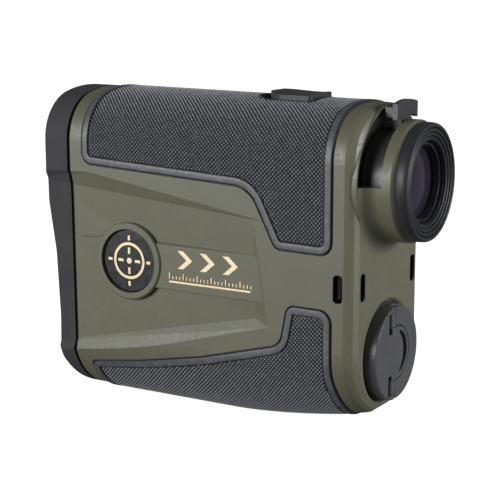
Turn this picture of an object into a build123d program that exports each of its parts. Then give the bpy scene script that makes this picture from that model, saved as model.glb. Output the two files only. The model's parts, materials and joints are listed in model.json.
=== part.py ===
from build123d import *
from math import cos, radians, sin, sqrt
import os

# A pocket laser rangefinder, in millimetres. X runs along the optical axis towards the eye,
# Y across the narrow body, Z up. The origin is at the middle of the lowest point.

# ---- Driving dimensions: outside of the body ----
FRONT_X = -49.0             # foremost plane of the front bezel
HOUSING_FRONT_X = -40.8     # front rim of the olive housing
BEZEL_REAR_X = -41.7        # rear rim of the black bezel
REAR_X = 38.5               # rear face of the housing
EYECUP_REAR_X = 49.0
HALF_WIDTH = 17.8
KEEL_ROUND_Z = 17.2         # centre height of the full round keel, above the lowest line
TOP_Z = 78.15               # crown height near the front
TOP_FALL = 0.0115           # fall of the crown per millimetre towards the rear
CROWN_RADIUS = 36.0
SHOULDER_RADIUS = 12.0
CAVITY_HALF_WIDTH = 14.6

# ---- Grips ----
GRIP_PROUD = 0.4            # the rubber stands this far above the olive shell
GRIP_SEAT = 0.9
KEEL_TRIM = 0.03            # trimmed off the rubber to make its lowest strip an exact plane
GRIP_GAP = 0.25

# ---- Optics ----
SIGHT_Z = 59.65             # axis of objective, prisms and eyepiece
LASER_Z = 31.0              # axis of the laser emitter
BARREL_RADIUS = 14.2        # eyepiece barrel, outside
BARREL_BORE = 12.45
OCULAR_RADIUS = 10.93       # sliding tube of eye lenses
SLOT_REAR_X = 42.9          # rear edge of the diopter slot
BARREL_REAR_X = 46.0

# ---- Battery compartment ----
CELL_Z = 18.75
CELL_RADIUS = 7.8
CELL_LENGTH = 27.0
CELL_FRONT_X = 9.0
CAP_RADIUS = 11.4
CAP_FACE_X = 41.15
CAP_HOLE_RADIUS = 9.5
CAP_CLEARANCE = 0.08
BAIL_HINGE_X = 40.4
BAIL_HINGE_Y = -2.05
BAIL_PIN_RADIUS = 0.42

# ---- Buttons ----
KEY_HALF_WIDTH = 5.5
KEY_FRONT_X = 7.5
KEY_REAR_X = 20.5
KEY_GAP = 0.3
KEY_POCKET_X = 5.6          # the opening runs on ahead of the button's round front end

# ---- Side details ----
BADGE_X = -23.5
BADGE_Z = 37.0
BADGE_RADIUS = 7.85
BADGE_RING_RADIUS = 9.65
LANYARD_Z = 36.5
LANYARD_HEIGHT = 6.5
LANYARD_WIDTH = 2.4
LANYARD_X = 34.4
LANYARD_Y = 13.3

RUN = 0.05                  # radial clearance of a running fit
LOW3 = (Align.MIN, Align.MIN, Align.MIN)


# ---- Small makers ----
def block(x0, x1, y0, y1, z0, z1):
    """A box given by its two corners."""
    return Pos(x0, y0, z0) * Box(x1 - x0, y1 - y0, z1 - z0, align=LOW3)


def rod_x(radius, x0, x1, z, y=0.0):
    """A round bar along X."""
    bar = Cylinder(radius, x1 - x0, align=(Align.CENTER, Align.CENTER, Align.MIN))
    return Pos(x0, y, z) * Rot(0, 90, 0) * bar


def tube_x(outer, inner, x0, x1, z, y=0.0):
    """A round tube along X."""
    return rod_x(outer, x0, x1, z, y) - rod_x(inner, x0 - 1, x1 + 1, z, y)


def rod_y(radius, y0, y1, x, z):
    """A round bar along Y."""
    bar = Cylinder(radius, y1 - y0, align=(Align.CENTER, Align.CENTER, Align.MIN))
    return Pos(x, y0, z) * Rot(-90, 0, 0) * bar


def rod_z(radius, z0, z1, x, y):
    """A round bar along Z."""
    bar = Cylinder(radius, z1 - z0, align=(Align.CENTER, Align.CENTER, Align.MIN))
    return Pos(x, y, z0) * bar


def turned(points, z):
    """A ring turned about the X axis at height z, from (x, radius) points."""
    profile = Plane.XZ * make_face(Polyline(*[(x, r + z) for x, r in points], close=True))
    return revolve(profile, Axis((0, 0, z), (1, 0, 0)), 360)


def side_prism(face, y0, y1):
    """A flat (X, Z) face extruded from y0 to y1."""
    placed = Plane(origin=(0, y0, 0), x_dir=(1, 0, 0), z_dir=(0, -1, 0)) * face
    return extrude(placed, amount=y1 - y0, dir=(0, 1, 0))


def rounded_outline(corners, radii):
    """A closed (X, Z) outline with a radius at each corner."""
    line = FilletPolyline(*corners, radius=radii, close=True)
    return make_face(line)


def mirrored(shape):
    """The same shape on the other side of the object."""
    return mirror(shape, about=Plane.XZ)


def both_sides(shape):
    return shape + mirrored(shape)


# ---- Cross-sections of the body ----
def crown_height(x):
    return TOP_Z - TOP_FALL * (x + 35.0)


def arc_mid(centre, radius, a0, a1):
    middle = radians((a0 + a1) / 2)
    return (centre[0] + radius * cos(middle), centre[1] + radius * sin(middle))


def body_section(x, low, inset=0.0, top=None):
    """The body's outline at x: keel round below, flat sides, soft shoulders and a crowned top."""
    high = (crown_height(x) if top is None else top) - inset
    half = HALF_WIDTH - inset
    keel = (0.0, low + KEEL_ROUND_Z)
    flat_z = low + inset
    flat_half = sqrt(half**2 - (keel[1] - flat_z) ** 2)
    crown = CROWN_RADIUS - inset
    shoulder = SHOULDER_RADIUS - inset
    crown_z = high - crown
    reach_y = half - shoulder
    reach_z = sqrt((crown - shoulder) ** 2 - reach_y**2)
    corner = (reach_y, crown_z + reach_z)
    scale = crown / (crown - shoulder)
    join = (reach_y * scale, crown_z + reach_z * scale)
    keel_low = sqrt(0.5)
    keel_mid = (half * keel_low, keel[1] - half * keel_low)
    lean = (join[0] - corner[0], join[1] - corner[1])
    mid = (lean[0] + shoulder, lean[1])
    length = sqrt(mid[0] ** 2 + mid[1] ** 2)
    shoulder_mid = (corner[0] + shoulder * mid[0] / length, corner[1] + shoulder * mid[1] / length)
    loop = [Line((-flat_half, flat_z), (flat_half, flat_z))]
    for side in (1, -1):
        loop += [
            ThreePointArc((side * flat_half, flat_z), (side * keel_mid[0], keel_mid[1]), (side * half, keel[1])),
            Line((side * half, keel[1]), (side * half, corner[1])),
            ThreePointArc((side * half, corner[1]), (side * shoulder_mid[0], shoulder_mid[1]),
                          (side * join[0], join[1])),
        ]
    loop.append(ThreePointArc(join, (0, high), (-join[0], join[1])))
    return Plane(origin=(x, 0, 0), x_dir=(0, 1, 0), z_dir=(1, 0, 0)) * make_face(loop)


REAR_CORNER_X = 35.8        # start of the rounded rear corner
KEEL_RISE = 4.0             # the keel sweeps up by this much over its rear half
KEEL_POWER = 1.7
STATIONS = 9


def keel_height(x):
    return GRIP_PROUD + KEEL_RISE * max(x / REAR_CORNER_X, 0.0) ** KEEL_POWER


REAR_EDGE = [(REAR_CORNER_X, 0.0), (36.9, 0.35), (37.8, 1.15), (REAR_X, 2.6)]   # x and inset of the rear corner


def body_solid(inset):
    """The body between its front rim and the start of its rear corner."""
    pitch = (REAR_CORNER_X - HOUSING_FRONT_X) / (STATIONS - 1)
    places = [HOUSING_FRONT_X + pitch * i for i in range(STATIONS)]
    return loft([body_section(x, keel_height(x), inset) for x in places])


def rear_corner():
    low = keel_height(REAR_CORNER_X)
    top = crown_height(REAR_CORNER_X)
    stations = [body_section(x, low, inset, top) for x, inset in REAR_EDGE]
    return loft(stations, ruled=True)


def cavity_face(inset=0.0):
    """The hollow inside, as a (Y, Z) outline."""
    half = CAVITY_HALF_WIDTH - inset
    top = 75.2 - inset
    low = 4.4 + inset
    outline = FilletPolyline(
        (-half, low), (half, low), (half, top), (-half, top),
        radius=[half - 0.01, half - 0.01, 10.0, 10.0], close=True,
    )
    return make_face(outline)


def cavity(x0, x1, inset=0.0):
    placed = Plane(origin=(x0, 0, 0), x_dir=(0, 1, 0), z_dir=(1, 0, 0)) * cavity_face(inset)
    return extrude(placed, amount=x1 - x0, dir=(1, 0, 0))


# ---- Side recess, badge ring and name pad ----
def facet_solid(corners, faces):
    """A closed solid with flat faces, from its corners and their indices."""
    flats = [Face(Wire.make_polygon([corners[i] for i in loop], close=True)) for loop in faces]
    return Solid(Shell(flats))


def recess_cut():
    """The shallow side recess: deep at the front, running out towards the rear."""
    out = -22.0
    front, rear = -52.0, 16.5
    corners = [
        (front, -16.4, 55.6), (front, -15.9, 12.3), (12.5, -16.75, 26.8), (12.0, -17.6, 50.6),
        (front, out, 64.9), (front, out, -10.3), (rear, out, 12.6), (rear, out, 66.0),
        (rear, -17.85, 50.3), (rear, -17.85, 25.4),
    ]
    loops = [
        (0, 1, 2), (0, 2, 3),
        (3, 2, 9), (3, 9, 8),
        (0, 3, 8), (0, 8, 7), (0, 7, 4),
        (1, 5, 6), (1, 6, 9), (1, 9, 2),
        (8, 9, 6), (8, 6, 7),
        (0, 4, 5), (0, 5, 1),
        (4, 7, 6), (4, 6, 5),
    ]
    return facet_solid(corners, loops)


PAD_Y = -17.55
INLAY_HEIGHT = 0.12


def name_pad():
    """A raised pad behind the badge ring, bevelled along its top, and a low ridge ahead of the ring."""
    outline = rounded_outline(
        [(-18.0, 31.3), (17.5, 31.0), (17.5, 40.6), (15.0, 41.0), (10.3, 42.7), (-18.0, 42.5)],
        [0.2, 0.2, 0.2, 1.5, 3.0, 0.2],
    )
    pad = side_prism(outline, PAD_Y, -15.0)
    bevel = Pos(0, PAD_Y, 41.95) * Rot(45, 0, 0) * block(-20, 20, -3, 3, 0, 3)
    ridge = make_face(Polyline((-38.6, 41.6), (-32.0, 42.2), (-32.0, 42.6), (-38.6, 42.0), close=True))
    return (pad - bevel) + side_prism(ridge, -16.95, -15.0)


def badge_ring():
    ring = rod_y(BADGE_RING_RADIUS, -18.0, -15.0, BADGE_X, BADGE_Z)
    rim = ring.faces().sort_by(Axis.Y)[0].edges()
    return chamfer(rim, 0.35)


def badge_seat():
    return rod_y(BADGE_RADIUS + 0.1, -19.0, -15.9, BADGE_X, BADGE_Z)


# ---- Grips ----
def top_grip_outline(grow=0.0):
    return rounded_outline(
        [
            (-37.0 - grow, 95.0), (-37.0 - grow, 60.3 - grow), (11.2 - grow, 57.95 - grow),
            (18.3 - grow, 44.15 - grow), (32.8 + grow, 43.85 - grow), (32.8 + grow, 95.0),
        ],
        [0.5, 3.0 + grow, 7.0, 2.6 + grow, 3.1 + grow, 0.5],
    )


def bottom_grip_outline(grow=0.0):
    return rounded_outline(
        [
            (-36.9 - grow, -5.0), (-36.9 - grow, 9.4 + grow), (-20.7, 11.9 + grow),
            (-2.4, 15.6 + grow), (19.6 - grow, 21.5 + grow), (21.5 - grow, 31.3 + grow),
            (32.8 + grow, 31.2 + grow), (32.8 + grow, 16.0), (33.6 + grow, 8.0), (33.6 + grow, -5.0),
        ],
        [0.5, 2.0 + grow, 60.0, 60.0, 3.6, 2.4 + grow, 3.2 + grow, 20.0, 20.0, 0.5],
    )


def key_plan(x0, x1, half, rear_radius):
    """A plan with a full round front end and softly rounded rear corners."""
    front_radius = half - 0.01
    outline = FilletPolyline(
        (x0, -half), (x1, -half), (x1, half), (x0, half),
        radius=[front_radius, rear_radius, rear_radius, front_radius], close=True,
    )
    return make_face(outline)


def key_window(grow, z0, z1):
    """The opening round the button."""
    half = KEY_HALF_WIDTH + KEY_GAP + grow
    plan = key_plan(KEY_POCKET_X - grow, KEY_REAR_X + KEY_GAP + grow, half, 1.2)
    return extrude(Pos(0, 0, z0) * plan, z1 - z0)


def make_top_grip(grip_skin):
    shape = grip_skin & side_prism(top_grip_outline(), -25, 25)
    return shape - key_window(0.5, 70, 90)


def make_bottom_grip(grip_skin):
    """The lower rubber skin, trimmed to an exact flat under the keel."""
    return (grip_skin & side_prism(bottom_grip_outline(), -25, 25)) - block(-45, 10, -12, 12, -5, 0)


# ---- Housing ----
def lanyard_tunnels():
    """An L-shaped way round each rear corner post."""
    half_w = LANYARD_WIDTH / 2
    half_h = LANYARD_HEIGHT / 2
    low, high = LANYARD_Z - half_h, LANYARD_Z + half_h
    side = block(LANYARD_X - half_w, LANYARD_X + half_w, LANYARD_Y - half_w, 25, low, high)
    rear = block(LANYARD_X - half_w, 45, LANYARD_Y - half_w, LANYARD_Y + half_w, low, high)
    side = fillet(side.edges().filter_by(Axis.Y), half_w * 0.8)
    rear = fillet(rear.edges().filter_by(Axis.X), half_w * 0.8)
    return both_sides(side + rear)


def lanyard_pockets():
    """Walls that close the lanyard ways off from the inside."""
    pocket = block(31.4, 37.0, 10.3, 15.2, 31.4, 41.6)
    return both_sides(pocket)


def eyepiece_barrel():
    """The barrel with its soft flare into the rear face."""
    flare = [(37.0, 0.5), (37.0, BARREL_RADIUS + FLARE_REACH)]
    steps = 10
    for i in range(steps + 1):
        turn = radians(90 * i / steps)
        x = REAR_X + FLARE_LENGTH * (1 - cos(turn))
        flare.append((x, BARREL_RADIUS + FLARE_REACH * (1 - sin(turn))))
    rim = [(45.2, BARREL_RADIUS), (BARREL_REAR_X, BARREL_RADIUS - 0.75), (BARREL_REAR_X, 0.5)]
    return turned(flare + rim, SIGHT_Z)


FLARE_REACH = 3.0
FLARE_LENGTH = 3.6
SLOT_FLOOR_X = 36.9         # the slot runs on as a pocket in the rear wall
SLOT_RADIUS = 16.85


def diopter_slot():
    """The half-round opening over the top of the barrel, with its pocket in the rear wall."""
    ring = tube_x(22.0, BARREL_BORE - 0.5, REAR_X, SLOT_REAR_X, SIGHT_Z)
    pocket = rod_x(SLOT_RADIUS, SLOT_FLOOR_X, SLOT_REAR_X, SIGHT_Z) - rod_x(BARREL_BORE - 0.5, 30, 45, SIGHT_Z)
    return (ring + pocket) & block(30, SLOT_REAR_X, -25, 25, SIGHT_Z, 90)


def cap_scoop():
    """The dished recess round the battery cap."""
    return turned(
        [(37.6, 0.0), (37.6, 12.2), (37.9, 12.2), (REAR_X + 0.1, 12.9), (60.0, 12.9), (60.0, 0.0)],
        CELL_Z,
    )


BEZEL_SCREWS = [(-12.2, 42.6), (12.2, 42.6), (-9.5, 11.4), (9.5, 11.4)]
CHASSIS_SCREWS = [(-30.0, -12.4), (-30.0, 12.4), (28.0, -12.4), (28.0, 12.4)]


def housing_bosses():
    bosses = Part()
    for y, z in BEZEL_SCREWS:
        bosses += rod_x(2.2, HOUSING_FRONT_X, -38.6, z, y) & cavity(-41, -38, -0.6)
        bosses += block(HOUSING_FRONT_X, -38.6, min(y, y * 1.25), max(y, y * 1.25), z - 1.6, z + 1.6) & \
            cavity(-41, -38, -0.6)
    for x, y in CHASSIS_SCREWS:
        side = 1 if y > 0 else -1
        bosses += block(x - 3, x + 3, min(y - 2 * side, 15.2 * side), max(y - 2 * side, 15.2 * side), 39.5, 44.5)
    return bosses


def make_housing():
    shell = body_solid(0.0) + rear_corner()
    shell += eyepiece_barrel()
    inner = cavity(HOUSING_FRONT_X - 1, 35.2)
    shell -= both_sides(recess_cut())
    shell += both_sides(name_pad() + badge_ring())
    shell -= inner
    seats = body_solid(-3.0) - body_solid(GRIP_SEAT)
    seats = seats & (side_prism(top_grip_outline(GRIP_GAP), -25, 25)
                     + side_prism(bottom_grip_outline(GRIP_GAP), -25, 25))
    shell -= seats
    shell -= both_sides(badge_seat())
    shell += lanyard_pockets()
    shell += housing_bosses()
    shell -= lanyard_tunnels()
    shell -= cap_scoop()
    shell -= rod_x(CAP_HOLE_RADIUS, 30, 60, CELL_Z)
    shell -= rod_x(BARREL_BORE, 38.0, 60, SIGHT_Z)
    shell -= rod_x(11.0, 30, 60, SIGHT_Z)
    shell -= diopter_slot()
    shell -= key_window(0.0, 70, 90)
    for y, z in BEZEL_SCREWS:
        shell -= rod_x(0.8, -42, -38.9, z, y)
    for x, y in CHASSIS_SCREWS:
        shell -= rod_z(0.8, 40.6, 46, x, y)
    shell -= rod_z(KEY_PIN_RADIUS, SIGHT_Z - 13.4, SIGHT_Z - 9.0, KEY_PIN_X, 0)
    return shell


# ---- Front bezel ----
BEZEL_EDGE_RADIUS = 0.9
SAME_PLACE = 1e-4           # two edges whose middles are this close are one edge


def bezel_profile():
    """Side view of the bezel: upright above, stepped back below."""
    return rounded_outline(
        [
            (BEZEL_REAR_X, -3.0), (BEZEL_REAR_X, 90.0), (FRONT_X, 90.0), (FRONT_X, 50.0),
            (-47.1, 37.0), (-46.4, 20.0), (-46.7, 9.5), (-45.4, 3.8), (-42.0, -3.0),
        ],
        [0.05, 0.5, 0.5, 12.0, 20.0, 20.0, 3.0, 5.0, 0.2],
    )


def front_rim(body):
    """The edges round the forward-facing faces of the bezel."""
    fronts = [face for face in body.faces() if face.normal_at(face.center()).X < -0.5]
    edges = [edge for face in fronts for edge in face.edges()]
    return [
        edge for edge in edges
        if sum((edge.center() - other.center()).length < SAME_PLACE for other in edges) == 1
    ]


def make_front_bezel():
    outer = extrude(body_section(BEZEL_REAR_X, GRIP_PROUD), amount=-9.0, dir=(1, 0, 0))
    outer = outer & side_prism(bezel_profile(), -25, 25)
    outer = fillet(front_rim(outer), BEZEL_EDGE_RADIUS)
    outer -= both_sides(recess_cut())
    hollow = cavity(-46.8, BEZEL_REAR_X + 1, -1.0) & side_prism(
        make_face(Polyline((-44.6, 0), (-44.6, 36), (-46.9, 50), (-46.9, 80), (-40, 80), (-40, 0), close=True)),
        -25, 25,
    )
    shell = outer - hollow
    for y, z in BEZEL_SCREWS:
        shell += rod_x(2.2, -46.0, BEZEL_REAR_X, z, y)
    shell -= turned([(-52, 0), (-52, 12.0), (FRONT_X, 11.6), (-47.6, 10.7), (-40, 10.7), (-40, 0)], SIGHT_Z)
    shell -= turned([(-52, 0), (-52, 10.9), (-47.0, 9.6), (-45.6, 8.8), (-40, 8.8), (-40, 0)], LASER_Z)
    for y, z in BEZEL_SCREWS:
        shell -= rod_x(0.9, -50, -41, z, y)
        shell -= rod_x(1.6, -50, -44.9, z, y)
    return shell


def make_bezel_gasket():
    """Black frame that fills the joint between bezel and housing."""
    outer = extrude(body_section(BEZEL_REAR_X, GRIP_PROUD, 1.1), amount=HOUSING_FRONT_X - BEZEL_REAR_X, dir=(1, 0, 0))
    outer -= both_sides(Pos(0, 0.6, 0) * recess_cut())
    return outer - cavity(-43, -40, -0.5)


def make_bezel_screws():
    screws = []
    for y, z in BEZEL_SCREWS:
        head = rod_x(1.5, -46.0, -44.9, z, y) - block(-46.2, -45.6, y - 0.2, y + 0.2, z - 1.1, z + 1.1)
        screws.append(head + rod_x(0.8, -44.9, -39.0, z, y))
    return screws


# ---- Badges and inlays ----
def make_badge():
    disc = rod_y(BADGE_RADIUS, -17.2, -15.9, BADGE_X, BADGE_Z)
    return chamfer(disc.faces().sort_by(Axis.Y)[0].edges(), 0.3)


def make_emblem():
    """A generic aiming mark: a ring with four ticks and a dot."""
    y0, y1 = -17.34, -17.2
    ring = rod_y(4.6, y0, y1, BADGE_X, BADGE_Z) - rod_y(3.9, y0 - 1, y1 + 1, BADGE_X, BADGE_Z)
    pieces = [ring, rod_y(0.75, y0, y1, BADGE_X, BADGE_Z)]
    tick = block(-0.35, 0.35, y0, y1, 1.7, 3.3) + block(-0.35, 0.35, y0, y1, 5.1, 6.3)
    for quarter in range(4):
        turned_tick = Rot(0, 90 * quarter, 0) * tick
        pieces.append(Pos(BADGE_X, 0, BADGE_Z) * turned_tick)
    return Compound(children=[s for piece in pieces for s in piece.solids()])


def make_inlay():
    """A generic range scale on the name pad: a base line, ticks and three chevrons."""
    y0, y1 = PAD_Y - INLAY_HEIGHT, PAD_Y
    pieces = [block(-11.5, 11.5, y0, y1, 33.0, 33.45)]
    for i in range(24):
        height = 1.5 if i % 4 == 0 else 0.8
        x = -11.5 + i
        pieces.append(block(x, x + 0.3, y0, y1, 33.9, 33.9 + height))
    for i in range(3):
        x = -9.0 + 6.4 * i
        chevron = Polyline((x, 36.6), (x + 2.6, 38.8), (x, 41.0), (x + 1.7, 41.0), (x + 4.3, 38.8),
                           (x + 1.7, 36.6), close=True)
        pieces.append(side_prism(make_face(chevron), y0, y1))
    return pieces


# ---- Objective and laser optics ----
def lens(x0, x1, radius, bulge0, bulge1, z):
    """A round lens from x0 to x1 on its axis; bulges are the depths of its two faces."""
    def face_mid(x, bulge, way):
        if abs(bulge) < 1e-6:
            return (x, z + radius / 2)
        curve = (radius**2 + bulge**2) / (2 * bulge)
        depth = curve - (1 if bulge > 0 else -1) * sqrt(curve**2 - radius**2 / 4)
        return (x + way * depth, z + radius / 2)

    edge0 = (x0 + bulge0, z + radius)
    edge1 = (x1 - bulge1, z + radius)
    outline = [
        Line((x1, z), (x0, z)),
        ThreePointArc((x0, z), face_mid(x0, bulge0, 1), edge0),
        Line(edge0, edge1),
        ThreePointArc(edge1, face_mid(x1, bulge1, -1), (x1, z)),
    ]
    return revolve(Plane.XZ * Face(Wire(outline)), Axis((0, 0, z), (1, 0, 0)), 360)


def make_objective_barrel():
    return turned(
        [
            (-46.4, 10.55), (-46.4, 11.8), (-12.0, 11.8), (-12.0, 8.0), (-13.0, 8.0), (-13.0, 10.0),
            (-37.6, 10.0), (-37.6, 10.55),
        ],
        SIGHT_Z,
    )


def make_laser_barrel():
    return turned(
        [
            (-44.0, 8.5), (-44.0, 9.6), (-16.0, 9.6), (-14.0, 5.0), (-14.0, 3.2), (-17.6, 3.2),
            (-17.6, 7.6), (-38.0, 7.6), (-38.0, 8.5),
        ],
        LASER_Z,
    )


def make_prisms():
    """An erecting pair in line with the axis, a narrow air gap between them."""
    top, low = SIGHT_Z + 8.6, SIGHT_Z - 8.6
    first = make_face(Polyline((-7.0, low), (-7.0, top), (-1.0, top), (8.0, low), close=True))
    second = make_face(Polyline((-0.2, top), (17.0, top), (17.0, low + 3), (12.0, low), (8.8, low), close=True))
    return side_prism(first, -8.5, 8.5), side_prism(second, -8.5, 8.5)


def make_prism_holder():
    top, low = SIGHT_Z + 10.2, SIGHT_Z - 10.4
    box = block(-9.5, 19.5, -10.6, 10.6, low, top)
    box -= block(-8.3, 18.3, -8.6, 8.6, SIGHT_Z - 8.7, SIGHT_Z + 8.7)
    box -= rod_x(7.6, -12, 25, SIGHT_Z)
    box -= block(-4, 14, -12, 12, SIGHT_Z - 6, SIGHT_Z + 6)
    return box


# ---- Chassis ----
def make_chassis():
    """The bench that carries the optics and boards inside the housing."""
    plate = block(-38.0, 33.0, -13.4, 13.4, 44.6, 46.4)
    plate -= block(20.5, 27.5, 5, 14, 44, 47)
    plate -= rod_x(11.9, -40, -11, SIGHT_Z)
    bulkhead = cavity(-38.0, -35.6, 0.4) & block(-39, -35, -20, 20, 16.0, 80)
    bench = plate + bulkhead
    bench -= rod_x(11.85, -40, -35, SIGHT_Z)
    bench -= rod_x(9.65, -40, -35, LASER_Z)
    for y, z in BEZEL_SCREWS:
        bench -= rod_x(2.7, -40, -37.4, z, y)
    bench += block(-9.5, 19.5, -4, 4, 46.4, SIGHT_Z - 10.4)
    for x in BOARD_POSTS:
        bench += block(x - 2.2, x + 2.2, 8.8, 10.6, BOARD_SCREW_Z - 1.8, 44.6)
    for x, y in CHASSIS_SCREWS:
        bench -= rod_z(0.95, 44, 47, x, y)
    for x in BOARD_POSTS:
        bench -= rod_y(0.7, 9.0, 11, x, BOARD_SCREW_Z)
    return bench


BOARD_POSTS = [-24.0, 2.0]
BOARD_SCREW_Z = 37.2


def make_chassis_screws():
    return [rod_z(0.8, 40.8, 46.4, x, y) + rod_z(1.5, 46.4, 47.5, x, y) for x, y in CHASSIS_SCREWS]


# ---- Electronics ----
def make_main_board():
    board = block(-32.0, 29.0, 10.6, 11.6, 13.0, 39.0)
    for x in BOARD_POSTS:
        board -= rod_y(0.85, 10, 12, x, BOARD_SCREW_Z)
    return board


def make_board_chips():
    places = [(-20, -10, 24, 34, 1.2), (-8, -1, 26, 33, 1.0), (1, 7, 22, 28, 0.9), (9, 16, 22, 27, 1.1),
              (-24, -20, 19, 23, 0.8), (-14, -11, 19, 22, 0.8), (20, 26, 30, 36, 1.0)]
    return [block(x0, x1, 11.6, 11.6 + t, z0, z1) for x0, x1, z0, z1, t in places]


def make_board_screws():
    return [
        rod_y(0.7, 9.2, 11.6, x, BOARD_SCREW_Z) + rod_y(1.4, 11.6, 12.5, x, BOARD_SCREW_Z)
        for x in BOARD_POSTS
    ]


def make_display_flex():
    """The display's flat cable, folded down to the main board."""
    return block(23.9, 24.1, 6.0, 9.6, 36.0, 50.4) + block(23.9, 24.1, 9.6, 10.6, 36.0, 38.5)


# ---- Eyepiece ----
KEY_PIN_RADIUS = 0.6
KEY_PIN_X = 36.7
CELL_KEYWAY = 0.65


def make_ocular_cell():
    """The tube of eye lenses, moved along X by the diopter ring."""
    cell = turned(
        [
            (34.6, 9.3), (34.6, OCULAR_RADIUS), (44.8, OCULAR_RADIUS), (44.8, 9.2), (47.0, 9.2), (47.0, 8.6),
            (45.8, 8.3), (42.6, 8.3), (42.6, 9.3),
        ],
        SIGHT_Z,
    )
    keyway = block(34.8, 38.6, -CELL_KEYWAY, CELL_KEYWAY, SIGHT_Z - 12, SIGHT_Z - 9.9)
    return cell - keyway


def make_diopter_ring():
    """The turning ring in the slot, with its stepped lever on top."""
    ring = turned(
        [
            (38.2, OCULAR_RADIUS + RUN), (38.2, BARREL_BORE - RUN), (43.8, BARREL_BORE - RUN),
            (43.8, OCULAR_RADIUS + RUN),
        ],
        SIGHT_Z,
    )
    stem = tube_x(15.6, 11.6, 39.6, 42.2, SIGHT_Z) & block(39, 43, -2.6, 2.6, SIGHT_Z, 90)
    front_step = tube_x(17.7, 15.3, 39.0, 41.3, SIGHT_Z) & block(38, 42, -4.3, 4.3, SIGHT_Z, 90)
    rear_step = tube_x(18.7, 15.3, 41.3, 42.6, SIGHT_Z) & block(41, 43, -5.4, 5.4, SIGHT_Z, 90)
    lever = stem + front_step + rear_step
    for x in (39.5, 40.1, 40.7):
        lever -= tube_x(19.5, 17.4, x, x + 0.25, SIGHT_Z)
    return ring + lever


def make_diopter_plate():
    """The black half ring at the bottom of the slot's pocket."""
    plate = tube_x(SLOT_RADIUS - 0.1, BARREL_BORE + 0.1, SLOT_FLOOR_X, SLOT_FLOOR_X + 0.5, SIGHT_Z)
    return plate & block(SLOT_FLOOR_X, 41, -20, 20, SIGHT_Z + 0.1, 90)


def make_eyecup_sleeve():
    return turned(
        [(44.2, 11.1), (44.2, 12.45), (46.0, 12.45), (46.0, 13.1), (46.7, 13.1), (46.7, 10.0), (46.1, 10.0),
         (46.1, 11.1)],
        SIGHT_Z,
    )


def make_eyecup():
    """Rubber cup with concentric steps inside its rounded rim."""
    profile = [(46.1, 13.1), (46.1, 13.66), (48.5, 13.66), (48.86, 13.5), (49.0, 13.15), (48.86, 12.75)]
    radius, x = 12.6, 48.55
    for step in range(4):
        profile += [(x - 0.45, radius), (x - 0.1, radius - 0.35)]
        radius, x = radius - 0.72, x - 0.22
    profile += [(47.2, 9.6), (46.7, 9.6), (46.7, 13.1)]
    return turned(profile, SIGHT_Z)


# ---- Battery compartment ----
def make_battery_tube():
    tube = turned(
        [(4.6, 0.0), (4.6, 9.3), (33.6, 9.3), (33.6, 10.6), (35.2, 10.6), (35.2, 8.1), (6.2, 8.1), (6.2, 0.0)], CELL_Z
    )
    return tube


def make_battery():
    body = turned(
        [(9.6, 0.0), (9.6, 7.2), (10.2, CELL_RADIUS), (35.4, CELL_RADIUS), (36.0, 7.2), (36.0, 0.0)], CELL_Z
    )
    return body + rod_x(3.0, CELL_FRONT_X, 9.8, CELL_Z)


def make_contact_spring():
    path = Pos(6.5, 0, CELL_Z) * Rot(0, 90, 0) * Helix(pitch=0.85, height=2.1, radius=2.4)
    start = path @ 0
    wire = Plane(origin=start, z_dir=path % 0) * Circle(0.28)
    return sweep(wire, path=path, is_frenet=True)


def make_cap():
    """Screw cap with a sunken seat for its fold-out bail."""
    cap = turned(
        [
            (35.5, 8.5), (35.5, CAP_HOLE_RADIUS - CAP_CLEARANCE), (37.9, CAP_HOLE_RADIUS - CAP_CLEARANCE),
            (37.9, CAP_RADIUS), (40.85, CAP_RADIUS), (CAP_FACE_X, CAP_RADIUS - 0.3), (CAP_FACE_X, 0.0),
            (38.6, 0.0), (38.6, 8.5),
        ],
        CELL_Z,
    )
    seat = block(39.55, 42, BAIL_START_Y - BAIL_SWING, 15, CELL_Z - 15, CELL_Z + 15)
    cap -= seat - bail_core(BAIL_GAP)
    for side in (-1, 1):
        z0, z1 = sorted((CELL_Z + side * (BAIL_LUG[0] - 0.15), CELL_Z + side * (BAIL_LUG[1] + 0.1)))
        cap -= block(39.4, 42, WELL_Y, BAIL_START_Y, z0, z1)
        z0, z1 = sorted((CELL_Z + side * WELL_INNER, CELL_Z + side * (BAIL_LUG[1] + 0.1)))
        cap -= block(39.4, 42, WELL_Y, -2.75, z0, z1)
    cap -= rod_z(BAIL_PIN_RADIUS, CELL_Z - 10.2, CELL_Z + 10.2, BAIL_HINGE_X, BAIL_HINGE_Y)
    crescent = rod_x(5.35, 39.8, 42, CELL_Z) - rod_x(5.9, 39, 43, CELL_Z, -2.5)
    return cap - (crescent & block(39, 43, 1.3, 6, CELL_Z - 6, CELL_Z + 6))


BAIL_START_Y = -0.95        # straight inner edge of the tab, beside its hinge
BAIL_SWING = 0.35           # gap that lets this edge swing past the rim
BAIL_INNER = 6.6            # radius of the opening in the tab
BAIL_INNER_Z = 6.1          # half height of that opening where it is straight
BAIL_GAP = 0.25
BAIL_LUG = (6.5, 9.8)       # inner and outer end of each hinge lug, from the cap's middle
BAIL_CREASE = 0.14
WELL_Y = -4.45              # the wells beside the hinge give the lugs room to turn
WELL_INNER = 5.0


def bail_core(gap):
    """What the opening in the tab fits round."""
    half = BAIL_INNER_Z - gap
    return rod_x(BAIL_INNER - gap, 39, 43, CELL_Z) + block(39, 43, -6, 2.3, CELL_Z - half, CELL_Z + half)


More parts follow.
